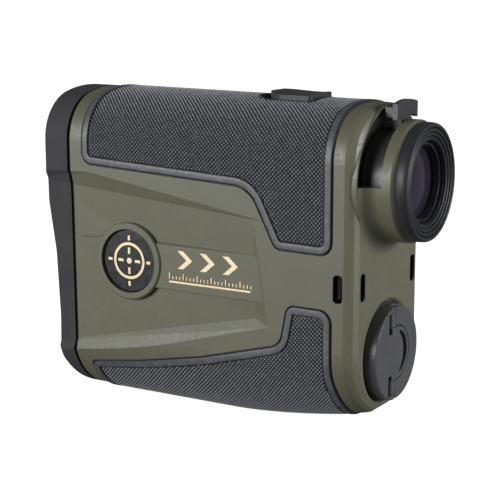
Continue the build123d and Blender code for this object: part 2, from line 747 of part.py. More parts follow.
def make_bail():
    """D-shaped fold-out tab that turns the cap."""
    plate = rod_x(CAP_RADIUS - 0.35, 39.65, CAP_FACE_X, CELL_Z) - bail_core(0.0)
    plate = plate & block(39, 43, BAIL_START_Y, 15, CELL_Z - 15, CELL_Z + 15)
    for side in (-1, 1):
        z0, z1 = sorted((CELL_Z + side * BAIL_LUG[0], CELL_Z + side * BAIL_LUG[1]))
        plate += block(39.65, CAP_FACE_X, BAIL_HINGE_Y, BAIL_START_Y + 0.1, z0, z1)
        plate += rod_z(0.75, z0, z1, BAIL_HINGE_X, BAIL_HINGE_Y)
        plate -= block(CAP_FACE_X - BAIL_CREASE, 42, BAIL_START_Y, BAIL_START_Y + BAIL_CREASE, z0 - 0.1, z1 + 0.1)
    return plate - rod_z(BAIL_PIN_RADIUS + RUN, CELL_Z - 12, CELL_Z + 12, BAIL_HINGE_X, BAIL_HINGE_Y)


# ---- Buttons ----
SWITCH_LOW = 71.15


def make_measure_button():
    """The firing button: humped at its front, dished behind and raised again at its rear edge."""
    key = extrude(Pos(0, 0, 74.2) * key_plan(KEY_FRONT_X, KEY_REAR_X, KEY_HALF_WIDTH, 0.9), 8)
    lengthways = make_face([
        Line((7.0, 70.0), (7.0, 78.6)),
        Spline((7.0, 78.6), (8.2, 79.1), (10.0, 79.35), (12.6, 79.1), (16.0, 78.75), (21.0, 79.05)),
        Line((21.0, 79.05), (21.0, 70.0)),
        Line((21.0, 70.0), (7.0, 70.0)),
    ])
    crown = rod_x(KEY_CROWN_RADIUS, 5, 25, 79.4 - KEY_CROWN_RADIUS)
    key = key & side_prism(lengthways, -10, 10) & crown
    skirt = extrude(Pos(0, 0, 73.9) * key_plan(KEY_FRONT_X, KEY_REAR_X, KEY_HALF_WIDTH + 0.9, 0.9), 1.1)
    return key + skirt + rod_z(1.6, 73.05, 74.2, KEY_MIDDLE_X, 0)


KEY_CROWN_RADIUS = 16.0
KEY_MIDDLE_X = 14.0


def make_key_frame():
    """The tray under the top wall that guides the button."""
    frame = block(2.6, 24.4, -8.8, 8.8, SWITCH_LOW, 75.2) & cavity(0, 35, 0.1)
    opening = extrude(Pos(0, 0, 70) * key_plan(KEY_FRONT_X - 0.4, KEY_REAR_X + 0.4, KEY_HALF_WIDTH + 1.3, 0.4), 8)
    return frame - opening


def make_switch():
    x = KEY_MIDDLE_X
    return block(x - 2.2, x + 2.2, -2.2, 2.2, SWITCH_LOW, 72.3) - rod_z(1.05, 71.25, 73, x, 0)


# ---- All nodes ----
def build_nodes():
    grip_skin = body_solid(-GRIP_PROUD - KEEL_TRIM) - body_solid(GRIP_SEAT)
    badge = make_badge()
    emblem = make_emblem()
    inlay = Compound(children=[s for piece in make_inlay() for s in piece.solids()])
    first_prism, second_prism = make_prisms()
    nodes = {
        "main_housing": make_housing(),
        "front_bezel": make_front_bezel(),
        "bezel_gasket": make_bezel_gasket(),
        "bezel_screws": make_bezel_screws(),
        "top_grip": make_top_grip(grip_skin),
        "bottom_grip": make_bottom_grip(grip_skin),
        "badge_left": badge,
        "badge_right": mirrored(badge),
        "emblem_left": emblem,
        "emblem_right": mirrored(emblem),
        "inlay_left": inlay,
        "inlay_right": mirrored(inlay),
        "objective_barrel": make_objective_barrel(),
        "objective_retainer": turned([(-46.2, 9.4), (-46.2, 10.5), (-45.0, 10.5), (-45.0, 9.7)], SIGHT_Z),
        "objective_crown": lens(-45.0, -40.6, 10.5, 1.6, 1.2, SIGHT_Z),
        "objective_flint": lens(-40.6, -37.9, 10.5, -1.2, 0.3, SIGHT_Z),
        "laser_barrel": make_laser_barrel(),
        "laser_lens": lens(-43.6, -38.2, 8.45, 1.3, 0.9, LASER_Z),
        "laser_retainer": turned([(-43.9, 7.7), (-43.9, 8.45), (-42.4, 8.45), (-42.8, 7.7)], LASER_Z),
        "laser_diode": rod_x(2.8, -17.2, -14.0, LASER_Z) + rod_x(3.15, -15.4, -14.0, LASER_Z),
        "laser_board": rod_x(8.4, -13.9, -12.9, LASER_Z),
        "roof_prism": second_prism,
        "half_prism": first_prism,
        "prism_holder": make_prism_holder(),
        "photodiode": rod_y(2.6, -12.2, -9.0, 5.0, SIGHT_Z) + rod_y(3.2, -12.2, -11.4, 5.0, SIGHT_Z),
        "receiver_board": block(-6.0, 16.0, -13.2, -12.2, 52.0, 66.0),
        "display_frame": block(21.0, 25.4, -9.6, 4.0, 46.4, 50.4)
        + block(21.0, 25.4, -9.6, 9.6, 50.4, 68.9) - block(20, 23.6, -7.2, 7.2, 52.4, 66.9)
        - block(20, 27, -6.4, 6.4, 53.2, 66.1),
        "display_glass": block(21.6, 23.6, -7.15, 7.15, 52.45, 66.85),
        "display_flex": make_display_flex(),
        "chassis": make_chassis(),
        "chassis_screws": make_chassis_screws(),
        "main_board": make_main_board(),
        "board_chips": make_board_chips(),
        "board_screws": make_board_screws(),
        "ocular_cell": make_ocular_cell(),
        "field_lens": lens(36.4, 40.6, 9.25, 1.2, 1.4, SIGHT_Z),
        "eye_lens": lens(42.9, 46.2, 8.25, 0.9, 1.2, SIGHT_Z),
        "ocular_key": rod_z(KEY_PIN_RADIUS, SIGHT_Z - 13.4, SIGHT_Z - 10.2, KEY_PIN_X, 0),
        "diopter_ring": make_diopter_ring(),
        "diopter_plate": make_diopter_plate(),
        "eyecup_sleeve": make_eyecup_sleeve(),
        "eyecup": make_eyecup(),
        "battery_tube": make_battery_tube(),
        "battery_cell": make_battery(),
        "contact_spring": make_contact_spring(),
        "battery_cap": make_cap(),
        "cap_seal": turned([(37.9, 9.5), (37.66, 9.8), (37.66, 11.7), (37.9, 12.0)], CELL_Z),
        "cap_contact": rod_x(7.6, 36.1, 36.6, CELL_Z) + rod_x(3.0, 36.6, 38.5, CELL_Z),
        "cap_bail": make_bail(),
        "bail_pin": rod_z(BAIL_PIN_RADIUS, CELL_Z - 10.2, CELL_Z + 10.2, BAIL_HINGE_X, BAIL_HINGE_Y),
        "measure_button": make_measure_button(),
        "key_frame": make_key_frame(),
        "key_board": block(3.0, 24.0, -8.0, 8.0, 70.35, SWITCH_LOW),
        "measure_switch": make_switch(),
        "measure_plunger": rod_z(1.0, 71.9, 73.05, KEY_MIDDLE_X, 0),
    }
    return nodes


def main():
    os.makedirs("parts", exist_ok=True)
    for name, shape in build_nodes().items():
        if isinstance(shape, (list, tuple)):
            shape = Compound(children=[s for piece in shape for s in piece.solids()])
        export_step(shape, f"parts/{name}.step")


main()
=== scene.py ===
import json
import math

import bmesh
import bpy
import numpy as np
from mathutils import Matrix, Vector


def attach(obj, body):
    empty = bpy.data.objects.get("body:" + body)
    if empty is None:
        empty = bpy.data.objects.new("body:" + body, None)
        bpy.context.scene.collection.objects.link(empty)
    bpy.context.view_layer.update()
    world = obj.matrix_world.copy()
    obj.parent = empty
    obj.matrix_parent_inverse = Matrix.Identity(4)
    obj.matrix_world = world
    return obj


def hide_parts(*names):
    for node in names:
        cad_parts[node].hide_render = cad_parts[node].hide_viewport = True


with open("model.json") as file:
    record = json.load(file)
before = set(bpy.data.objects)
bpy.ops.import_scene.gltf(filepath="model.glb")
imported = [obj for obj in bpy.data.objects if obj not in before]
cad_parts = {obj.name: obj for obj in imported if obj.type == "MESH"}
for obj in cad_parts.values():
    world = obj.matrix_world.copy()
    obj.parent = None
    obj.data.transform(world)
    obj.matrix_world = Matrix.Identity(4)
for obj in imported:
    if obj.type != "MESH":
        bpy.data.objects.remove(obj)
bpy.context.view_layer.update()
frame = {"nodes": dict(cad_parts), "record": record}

MM = 0.001

# ---- Body shape, in millimetres: the same section as the CAD body ----
HALF_WIDTH = 17.8
KEEL_ROUND_Z = 17.2
KEEL_BASE = 0.4
KEEL_RISE = 4.0
KEEL_POWER = 1.7
REAR_CORNER_X = 35.8
TOP_Z = 78.15
TOP_FALL = 0.0115
CROWN_RADIUS = 36.0
SHOULDER_RADIUS = 12.0
SIGHT_Z = 59.65

SHOULDER_Y = HALF_WIDTH - SHOULDER_RADIUS
CROWN_ANGLE = math.asin(SHOULDER_Y / (CROWN_RADIUS - SHOULDER_RADIUS))
SHOULDER_DROP = CROWN_RADIUS - (CROWN_RADIUS - SHOULDER_RADIUS) * math.cos(CROWN_ANGLE)
CROWN_LENGTH = CROWN_RADIUS * CROWN_ANGLE
SHOULDER_LENGTH = SHOULDER_RADIUS * (math.pi / 2 - CROWN_ANGLE)
FLAT_HALF = math.sqrt(HALF_WIDTH**2 - KEEL_ROUND_Z**2)
FLAT_ANGLE = math.asin(FLAT_HALF / HALF_WIDTH)
KEEL_LENGTH = HALF_WIDTH * (math.pi / 2 - FLAT_ANGLE)

# ---- Grips ----
GRIP_HEIGHT = 0.4           # the rubber stands this far above the shell
SEAT_DEPTH = 0.85
BORDER = 2.1                # width of the smooth border round the knurled field
KNURL_STEP = 0.51           # half the distance between two neighbouring studs
STUD_HEIGHT = 0.40
VALLEY_HEIGHT = 0.02
BORDER_TONE = 0.40          # how pale the smooth border's top is, between the painted valley shade (0) and the painted stud highlight (1)
BORDER_LOW = 0.385          # parts of the border below this height get the valley's painted shade
FIELD_OVERLAP = 1.0         # how far the field runs on under the border
HOLE_OVERLAP = 0.45         # and under the rim of a hole
FULL_DEPTH = 0.12           # studs stand only this far inside the field
HOLE_RIM = 0.55             # width of the plain rim round a hole
EDGE_DROP = 0.06            # the field dips by this much along its edge
LOOP_STEP = 0.6             # spacing of points along straight runs
ARC_STEP = 0.35             # and along arcs


def crown_z(x):
    return TOP_Z - TOP_FALL * (x + 35.0)


def keel_centre_z(x):
    return KEEL_BASE + KEEL_RISE * max(x / REAR_CORNER_X, 0.0) ** KEEL_POWER + KEEL_ROUND_Z


def over_top(x, s, height):
    """The point of the skin at x, at length s round the section from the middle of the crown."""
    side = 1 if s >= 0 else -1
    s = abs(s)
    shoulder_z = crown_z(x) - SHOULDER_DROP
    if s <= CROWN_LENGTH:
        turn = s / CROWN_RADIUS
        radius = CROWN_RADIUS + height
        return (x, side * radius * math.sin(turn), crown_z(x) - CROWN_RADIUS + radius * math.cos(turn))
    s -= CROWN_LENGTH
    if s <= SHOULDER_LENGTH:
        turn = CROWN_ANGLE + s / SHOULDER_RADIUS
        radius = SHOULDER_RADIUS + height
        return (x, side * (SHOULDER_Y + radius * math.sin(turn)), shoulder_z + radius * math.cos(turn))
    return (x, side * (HALF_WIDTH + height), shoulder_z - (s - SHOULDER_LENGTH))


def length_over_top(x, z):
    """The inverse of over_top for a point on the shoulder or the side."""
    shoulder_z = crown_z(x) - SHOULDER_DROP
    if z <= shoulder_z:
        return CROWN_LENGTH + SHOULDER_LENGTH + shoulder_z - z
    return CROWN_LENGTH + SHOULDER_RADIUS * (math.acos((z - shoulder_z) / SHOULDER_RADIUS) - CROWN_ANGLE)


def under_keel(x, s, height):
    """The point of the skin at x, at length s round the section from the middle of the keel."""
    side = 1 if s >= 0 else -1
    s = abs(s)
    centre = keel_centre_z(x)
    if s <= FLAT_HALF:
        return (x, side * s, centre - KEEL_ROUND_Z - height)
    s -= FLAT_HALF
    if s <= KEEL_LENGTH:
        turn = FLAT_ANGLE + s / HALF_WIDTH
        radius = HALF_WIDTH + height
        return (x, side * radius * math.sin(turn), centre - radius * math.cos(turn))
    return (x, side * (HALF_WIDTH + height), centre + s - KEEL_LENGTH)


def length_under_keel(x, z):
    """The inverse of under_keel for a point on the round of the keel or the side."""
    centre = keel_centre_z(x)
    if z >= centre:
        return FLAT_HALF + KEEL_LENGTH + z - centre
    return FLAT_HALF + HALF_WIDTH * (math.acos((centre - z) / HALF_WIDTH) - FLAT_ANGLE)


# ---- Outlines ----
def rounded_path(corners, radii, step=LOOP_STEP):
    """Points along an open path of straight runs joined by arcs."""
    points = [Vector(corners[0])]
    for i in range(1, len(corners) - 1):
        here = Vector(corners[i])
        back = (Vector(corners[i - 1]) - here).normalized()
        on = (Vector(corners[i + 1]) - here).normalized()
        half = back.angle(on) / 2
        reach = radii[i - 1] / math.tan(half)
        centre = here + (back + on).normalized() * (radii[i - 1] / math.sin(half))
        start = here + back * reach - centre
        sweep = start.angle_signed(here + on * reach - centre)
        count = max(3, int(abs(sweep) * radii[i - 1] / ARC_STEP))
        for k in range(count + 1):
            turn = -sweep * k / count
            spun = Vector((
                start.x * math.cos(turn) - start.y * math.sin(turn),
                start.x * math.sin(turn) + start.y * math.cos(turn),
            ))
            points.append(centre + spun)
    points.append(Vector(corners[-1]))
    dense = [points[0]]
    for a, b in zip(points, points[1:]):
        parts = max(1, int((b - a).length / step))
        dense += [a + (b - a) * (k / parts) for k in range(1, parts + 1)]
    return dense


def closed_loop(half_path):
    """A loop round both sides from the path on one side, which starts and ends on the middle line."""
    other = [Vector((p.x, -p.y)) for p in reversed(half_path[1:-1])]
    return half_path + other


def grip_loop(corners, radii, length):
    """The outline of a grip as (x, length round the section) points."""
    path = rounded_path(corners, radii)
    side = [Vector((p.x, length(p.x, p.y))) for p in path]
    ends = []
    for p in (side[0], side[-1]):
        parts = int(p.y / LOOP_STEP)
        ends.append([Vector((p.x, p.y * k / parts)) for k in range(parts)])
    return closed_loop(ends[0] + side + ends[1][::-1])


def loop_normals(loop):
    """Inward normals of a closed loop."""
    area = sum(a.x * b.y - b.x * a.y for a, b in zip(loop, loop[1:] + loop[:1]))
    way = 1 if area > 0 else -1
    normals = []
    for i, p in enumerate(loop):
        run = (loop[(i + 1) % len(loop)] - loop[i - 1]).normalized()
        normals.append(Vector((-run.y, run.x)) * way)
    return normals


FAR = 1e9
TINY = 1e-12


def distance_grid(loop, xs, ss):
    """Distance of each grid node to the loop, positive inside."""
    a = np.array([p[:] for p in loop])
    b = np.roll(a, -1, axis=0)
    run = b - a
    gx, gs = np.meshgrid(xs, ss, indexing="ij")
    best = np.full(gx.shape, FAR)
    inside = np.zeros(gx.shape, bool)
    for p, d, q in zip(a, run, b):
        t = np.clip(((gx - p[0]) * d[0] + (gs - p[1]) * d[1]) / max(d @ d, TINY), 0, 1)
        best = np.minimum(best, np.hypot(gx - p[0] - t * d[0], gs - p[1] - t * d[1]))
        if p[1] != q[1]:
            crosses = (p[1] > gs) != (q[1] > gs)
            inside ^= crosses & (gx < (q[0] - p[0]) * (gs - p[1]) / (q[1] - p[1]) + p[0])
    return np.where(inside, best, -best)


# ---- Mesh makers ----
def add_painted_light(obj, values):
    """Stores each vertex's painted light for its material: a painted highlight on stud tops, painted shade
    in valleys and on the lower border.
    """
    painted_light = obj.data.attributes.new("painted_light", "FLOAT", "POINT")
    painted_light.data.foreach_set("value", values)


def mesh_object(name, verts, faces):
    """A smooth-shaded object from points in millimetres."""
    mesh = bpy.data.meshes.new(name)
    mesh.from_pydata([(x * MM, y * MM, z * MM) for x, y, z in verts], [], faces)
    mesh.validate()
    mesh.update()
    for polygon in mesh.polygons:
        polygon.use_smooth = True
    obj = bpy.data.objects.new(name, mesh)
    bpy.context.scene.collection.objects.link(obj)
    return obj


def add_border(verts, faces, light_levels, loop, profile, place, way=1):
    """A strip that follows a loop; profile holds (distance inwards, height) pairs."""
    normals = loop_normals(loop)
    first = len(verts)
    rows = len(profile)
    for p, n in zip(loop, normals):
        for inward, height in profile:
            q = p + n * inward * way
            verts.append(place(q.x, q.y, height))
            # Painted light: the border's top gets BORDER_TONE, its lower flanks and the flange in the seat
            # gap the valley's painted shade
            light_levels.append(BORDER_TONE if height > BORDER_LOW else 0.0)
    count = len(loop)
    for i in range(count):
        j = (i + 1) % count
        for k in range(rows - 1):
            faces.append((first + i * rows + k, first + j * rows + k,
                          first + j * rows + k + 1, first + i * rows + k + 1))


def add_knurl(verts, faces, light_levels, loop, place, holes=()):
    """Pyramid studs on a diagonal grid over the field inside a loop."""
    x_low, x_high = min(p.x for p in loop), max(p.x for p in loop)
    s_high = max(p.y for p in loop)
    nx = int((x_high - x_low) / KNURL_STEP)
    ns = int(s_high / KNURL_STEP)
    xs = x_low + KNURL_STEP * np.arange(nx + 1)
    ss = KNURL_STEP * np.arange(-ns, ns + 1)
    depth = distance_grid(loop, xs, ss) - BORDER
    keep = depth > -FIELD_OVERLAP
    for hole in holes:
        away = -distance_grid(hole, xs, ss) - HOLE_RIM
        keep &= away > -HOLE_OVERLAP
        depth = np.minimum(depth, away)
    index = {}

    def node(i, j):
        if (i, j) not in index:
            stud = (i + j) % 2 == 1
            full = depth[i, j] > FULL_DEPTH
            if stud and full:
                height = STUD_HEIGHT
            else:
                height = VALLEY_HEIGHT if full else VALLEY_HEIGHT - EDGE_DROP
            index[i, j] = len(verts)
            verts.append(place(float(xs[i]), float(ss[j]), height))
            # Painted light: stud tops get the painted highlight, valleys the painted shade
            light_levels.append(1.0 if stud and full else 0.0)
        return index[i, j]

    for i in range(nx):
        for j in range(2 * ns):
            if not (keep[i, j] and keep[i + 1, j] and keep[i, j + 1] and keep[i + 1, j + 1]):
                continue
            a, b, c, d = node(i, j), node(i + 1, j), node(i + 1, j + 1), node(i, j + 1)
            if (i + j) % 2 == 0:
                faces += [(a, b, c), (a, c, d)]
            else:
                faces += [(a, b, d), (b, c, d)]


LATHE_STEPS = 192


def lathe(name, profile, z):
    """A ring turned about the line of sight from (x, radius) points, closed on itself."""
    verts = []
    faces = []
    rows = len(profile)
    for i in range(LATHE_STEPS):
        turn = 2 * math.pi * i / LATHE_STEPS
        for x, r in profile:
            verts.append((x, r * math.cos(turn), z + r * math.sin(turn)))
    for i in range(LATHE_STEPS):
        j = (i + 1) % LATHE_STEPS
        for k in range(rows):
            m = (k + 1) % rows
            faces.append((i * rows + k, i * rows + m, j * rows + m, j * rows + k))
    return mesh_object(name, verts, faces)


# ---- Materials ----
class Nodes:
    """A small helper round one material's node tree."""

    def __init__(self, name):
        self.material = bpy.data.materials.new(name)
        self.material.use_nodes = True
        self.tree = self.material.node_tree
        self.shader = self.tree.nodes["Principled BSDF"]
        self.coords = self.add("ShaderNodeTexCoord").outputs["Object"]

    def add(self, kind, **settings):
        node = self.tree.nodes.new(kind)
        for key, value in settings.items():
            setattr(node, key, value)
        return node

    def link(self, a, b):
        self.tree.links.new(a, b)

    def stretched(self, scale):
        mapping = self.add("ShaderNodeMapping")
        mapping.inputs["Scale"].default_value = scale
        self.link(self.coords, mapping.inputs["Vector"])
        return mapping.outputs["Vector"]

    def noise(self, scale, detail=4.0, rough=0.55, coords=None):
        node = self.add("ShaderNodeTexNoise")
        node.inputs["Scale"].default_value = scale
        node.inputs["Detail"].default_value = detail
        node.inputs["Roughness"].default_value = rough
        self.link(coords or self.coords, node.inputs["Vector"])
        return node.outputs["Fac"]

    def feed(self, value, socket):
        """Links a socket, or sets a number or a colour."""
        if isinstance(value, bpy.types.NodeSocket):
            self.link(value, socket)
        elif isinstance(value, tuple):
            socket.default_value = (*value, 1.0)
        else:
            socket.default_value = value

    def math(self, operation, *values):
        node = self.add("ShaderNodeMath", operation=operation)
        for socket, value in zip(node.inputs, values):
            self.feed(value, socket)
        return node.outputs["Value"]

    def ramp(self, value, stops):
        node = self.add("ShaderNodeValToRGB")
        ramp = node.color_ramp
        while len(ramp.elements) < len(stops):
            ramp.elements.new(0.5)
        for element, (place, colour) in zip(ramp.elements, stops):
            element.position = place
            element.color = (*colour, 1.0)
        self.link(value, node.inputs["Fac"])
        return node.outputs["Color"]

    def span(self, value, low, high, from_low=0.3, from_high=0.7):
        node = self.add("ShaderNodeMapRange")
        node.inputs["From Min"].default_value = from_low
        node.inputs["From Max"].default_value = from_high
        node.inputs["To Min"].default_value = low
        node.inputs["To Max"].default_value = high
        self.link(value, node.inputs["Value"])
        return node.outputs["Result"]

    def mix(self, factor, a, b):
        """Mixes two colours; the sockets are the colour ones of the node."""
        node = self.add("ShaderNodeMix", data_type="RGBA")
        self.feed(factor, node.inputs[0])
        self.feed(a, node.inputs[6])
        self.feed(b, node.inputs[7])
        return node.outputs[2]

    def bump(self, height, depth, strength=1.0, under=None):
        node = self.add("ShaderNodeBump")
        node.inputs["Strength"].default_value = strength
        node.inputs["Distance"].default_value = depth * MM
        self.link(height, node.inputs["Height"])
        if under is not None:
            self.link(under, node.inputs["Normal"])
        return node.outputs["Normal"]

    def soft_edges(self, radius):
        node = self.add("ShaderNodeBevel", samples=4)
        node.inputs["Radius"].default_value = radius * MM
        return node.outputs["Normal"]

    def colour(self, socket):
        self.link(socket, self.shader.inputs["Base Color"])

    def rough(self, socket):
        self.link(socket, self.shader.inputs["Roughness"])

    def normal(self, socket):
        self.link(socket, self.shader.inputs["Normal"])

    def set(self, **values):
        for key, value in values.items():
            self.shader.inputs[key.replace("_", " ")].default_value = value


def scaled(colour, k):
    """A lighter or darker tone of a colour."""
    return tuple(min(1.0, c * k) for c in colour)


LANYARD_SIZE = (2.4, 2.4, 6.5)      # the lanyard ways through the rear corner posts
LANYARD_CENTRE = (34.4, 13.3, 36.5)
WAY_MARGIN = 0.1
SIDE_WAY_END = 17.4                 # the painted shade on the walls ends here, just under the outer skin
REAR_WAY_END = 38.1
# Painted shade: the near-black colour painted on the walls of the lanyard ways
WAY_SHADE_COLOUR = (0.004, 0.004, 0.003)


def paint_lanyard_way_shade(m, colour):
    """Painted shade on the walls of the lanyard ways, which no light reaches: nearly black, unlike the skin
    outside.
    """
    split = m.add("ShaderNodeSeparateXYZ")
    m.link(m.coords, split.inputs["Vector"])
    across = m.math("ABSOLUTE", split.outputs["Y"])
    places = [split.outputs["X"], across, split.outputs["Z"]]
    masks = []
    for axis, end in ((1, SIDE_WAY_END), (0, REAR_WAY_END)):
        mask = 1.0
        for k in range(3):
            low = LANYARD_CENTRE[k] - LANYARD_SIZE[k] / 2 - WAY_MARGIN
            high = end if k == axis else LANYARD_CENTRE[k] + LANYARD_SIZE[k] / 2 + WAY_MARGIN
            inside = m.math("COMPARE", places[k], (low + high) / 2 * MM, (high - low) / 2 * MM)
            mask = m.math("MULTIPLY", inside, mask)
        masks.append(mask)
    # Painted shade: inside either way the colour is swapped for the near-black shade
    way_shade_mask = m.math("MAXIMUM", masks[0], masks[1])
    m.colour(m.mix(way_shade_mask, colour, WAY_SHADE_COLOUR))


def moulded(name, colour, rough, grain=5200, grain_depth=0.012, mottle=0.10, metallic=0.0, edge=0.18,
            gloss=0.5, painted_way_shade=False):
    """Moulded or painted finish: a fine grain, a soft mottle, faint scuffs and handling marks."""
    m = Nodes(name)
    cloud = m.noise(120, 5.0, 0.6)
    base = m.ramp(cloud, [(0.3, scaled(colour, 1 - mottle)), (0.7, scaled(colour, 1 + mottle))])
    scuff = m.noise(420, 3.0, 0.7, m.stretched((1.0, 1.0, 5.0)))
    marks = m.span(scuff, 0.0, 0.22, 0.62, 0.74)
    worn = m.mix(marks, base, scaled(colour, 1.45))
    # Painted shade: with this set, the walls of the lanyard ways are painted nearly black
    if painted_way_shade:
        paint_lanyard_way_shade(m, worn)
    else:
        m.colour(worn)
    m.rough(m.span(m.noise(900, 4.0, 0.6), rough - 0.07, rough + 0.09))
    fine = m.bump(m.noise(grain, 2.0, 0.5), grain_depth, 1.0, m.soft_edges(edge))
    m.normal(m.bump(m.noise(260, 3.0, 0.5), 0.02, 0.6, fine))
    m.set(Metallic=metallic, Specular_IOR_Level=gloss)
    return m.material


def rubber(name, valley_shade, colour, stud_highlight, rough):
    """Soft black rubber with painted light: painted shade in the valleys, on the rim and on the border's
    flanks, and a painted highlight on the stud tops.
    """
    m = Nodes(name)
    painted_light = m.add("ShaderNodeAttribute", attribute_name="painted_light").outputs["Fac"]
    blotch = m.span(m.noise(900, 3.0, 0.6), -0.08, 0.08)
    m.colour(m.ramp(m.math("ADD", painted_light, blotch), [(0.08, valley_shade), (0.42, colour), (0.85, stud_highlight)]))
    m.rough(m.span(m.noise(1100, 4.0, 0.6), rough - 0.08, rough + 0.1))
    m.normal(m.bump(m.noise(7000, 2.0, 0.5), 0.01))
    m.set(Specular_IOR_Level=0.5)
    return m.material


def brushed(name, colour, rough):
    """Turned or brushed metal with fine lines across one direction."""
    m = Nodes(name)
    lines = m.noise(600, 3.0, 0.6, m.stretched((1.0, 1.0, 30.0)))
    m.colour(m.ramp(lines, [(0.3, scaled(colour, 0.8)), (0.7, scaled(colour, 1.15))]))
    m.rough(m.span(lines, rough - 0.08, rough + 0.12))
    m.normal(m.bump(lines, 0.006))
    m.set(Metallic=1.0)
    return m.material


def board(name):
    """Circuit board: green lacquer over copper tracks, with tinned pads."""
    m = Nodes(name)
    bricks = m.add("ShaderNodeTexBrick", offset=0.37, squash=0.6)
    m.link(m.coords, bricks.inputs["Vector"])
    bricks.inputs["Scale"].default_value = 320
    bricks.inputs["Mortar Size"].default_value = 0.03
    bricks.inputs["Color1"].default_value = (0.010, 0.060, 0.022, 1)
    bricks.inputs["Color2"].default_value = (0.016, 0.085, 0.030, 1)
    bricks.inputs["Mortar"].default_value = (0.05, 0.16, 0.06, 1)
    pads = m.add("ShaderNodeTexVoronoi", feature="F1")
    pads.inputs["Scale"].default_value = 420
    m.link(m.coords, pads.inputs["Vector"])
    tinned = m.span(pads.outputs["Distance"], 1.0, 0.0, 0.10, 0.14)
    m.colour(m.mix(tinned, bricks.outputs["Color"], (0.5, 0.49, 0.44)))
    m.rough(m.span(m.noise(900), 0.28, 0.42))
    m.normal(m.bump(bricks.outputs["Fac"], 0.02))
    return m.material


def coated_glass(name, body, grazing_reflection):
    """Coated lens: dark inside, with a painted reflection of its coating that grows paler and more tinted
    where the surface turns from view, and faint dust.
    """
    m = Nodes(name)
    facing = m.add("ShaderNodeLayerWeight")
    facing.inputs["Blend"].default_value = 0.42
    coating_reflection = m.ramp(facing.outputs["Facing"], [(0.0, body), (0.7, scaled(body, 1.3)), (1.0, grazing_reflection)])
    dust = m.span(m.noise(2600, 4.0, 0.7), 0.0, 0.10, 0.60, 0.78)
    m.colour(m.mix(dust, coating_reflection, (0.35, 0.34, 0.38)))
    m.rough(m.span(m.noise(700), 0.04, 0.09))
    m.normal(m.bump(m.noise(90, 2.0, 0.4), 0.01, 0.4))
    m.set(Coat_Weight=0.4, Coat_Roughness=0.02, Specular_IOR_Level=0.4, IOR=1.5)
    return m.material


OLIVE = (0.108, 0.110, 0.071)
CHARCOAL = (0.046, 0.046, 0.050)
RUBBER = (0.080, 0.082, 0.092)
GOLD = (0.86, 0.70, 0.47)

MATERIALS = {
    # The olive shell carries the painted shade in its lanyard ways.
    "olive_shell": moulded("olive_satin", OLIVE, 0.46, grain_depth=0.010, mottle=0.05, edge=0.25, painted_way_shade=True),
    "black_bezel": moulded("charcoal_satin", CHARCOAL, 0.62, mottle=0.10, gloss=0.12),
    # Grip rubber: the painted valley shade, the rubber's own colour, the painted stud highlight.
    "grip_rubber": rubber("grip_rubber", (0.014, 0.014, 0.017), RUBBER, (0.38, 0.385, 0.43), 0.46),
    "gasket_rubber": moulded("gasket_rubber", (0.007, 0.007, 0.008), 0.6),
    "key_plastic": moulded("key_satin", (0.036, 0.037, 0.040), 0.42, gloss=0.3),
    "badge_black": moulded("badge_gloss", (0.016, 0.016, 0.018), 0.32, mottle=0.2),
    "badge_gold": moulded("emblem_gold", GOLD, 0.40, mottle=0.06, metallic=0.25),
    "inlay_gold": moulded("inlay_gold", GOLD, 0.40, mottle=0.06, metallic=0.25),
    "eyecup_rubber": moulded("eyecup_rubber", (0.022, 0.023, 0.026), 0.42, gloss=0.3),
    "dial_plastic": moulded("dial_satin", (0.036, 0.036, 0.039), 0.36),
    "slot_black": moulded("slot_black", (0.006, 0.006, 0.007), 0.5),
    "cap_plastic": moulded("cap_satin", (0.068, 0.069, 0.075), 0.36),
    # Lenses: the dark body colour, then the painted coating reflection where the surface turns from view.
    "lens_glass": coated_glass("coated_lens", (0.018, 0.015, 0.024), (0.060, 0.050, 0.080)),
    "prism_glass": coated_glass("prism_glass", (0.10, 0.12, 0.13), (0.5, 0.55, 0.58)),
    "black_alloy": moulded("anodised_black", (0.020, 0.020, 0.023), 0.34, metallic=0.4),
    "bench_alloy": brushed("bench_alloy", (0.42, 0.43, 0.44), 0.36),
    "steel": brushed("screw_steel", (0.55, 0.56, 0.58), 0.28),
    "board_green": board("board_green"),
    "chip_black": moulded("chip_black", (0.015, 0.015, 0.016), 0.45),
    "sensor_can": brushed("sensor_can", (0.70, 0.52, 0.22), 0.24),
    "flex_amber": moulded("flex_amber", (0.32, 0.14, 0.03), 0.25),
    "frame_black": moulded("frame_black", (0.020, 0.020, 0.022), 0.45),
    "cell_sleeve": moulded("cell_sleeve", (0.05, 0.06, 0.28), 0.25, mottle=0.05),
    "nickel": brushed("nickel", (0.62, 0.61, 0.58), 0.18),
}


def paint(obj, slot):
    obj.data.materials.clear()
    obj.data.materials.append(MATERIALS[slot])


# ---- Camera: the object is seen from behind and to the left, from a little above ----
AZIMUTH = math.radians(31.04)
ELEVATION = math.radians(11.08)
DISTANCE = 0.3445
TARGET = Vector((0.00073, 0.0, 0.03924))
LENS = 100.3
SENSOR = 36.0
CLIP = (0.01, 20.0)


def make_camera():
    data = bpy.data.cameras.new("camera")
    data.lens = LENS
    data.sensor_width = SENSOR
    data.clip_start, data.clip_end = CLIP
    camera = bpy.data.objects.new("camera", data)
    bpy.context.scene.collection.objects.link(camera)
    back = Vector((
        math.sin(AZIMUTH) * math.cos(ELEVATION),
        -math.cos(AZIMUTH) * math.cos(ELEVATION),
        math.sin(ELEVATION),
    ))
    camera.location = TARGET + back * DISTANCE
    camera.rotation_mode = "QUATERNION"
    camera.rotation_quaternion = (-back).to_track_quat("-Z", "Y")
    bpy.context.scene.camera = camera


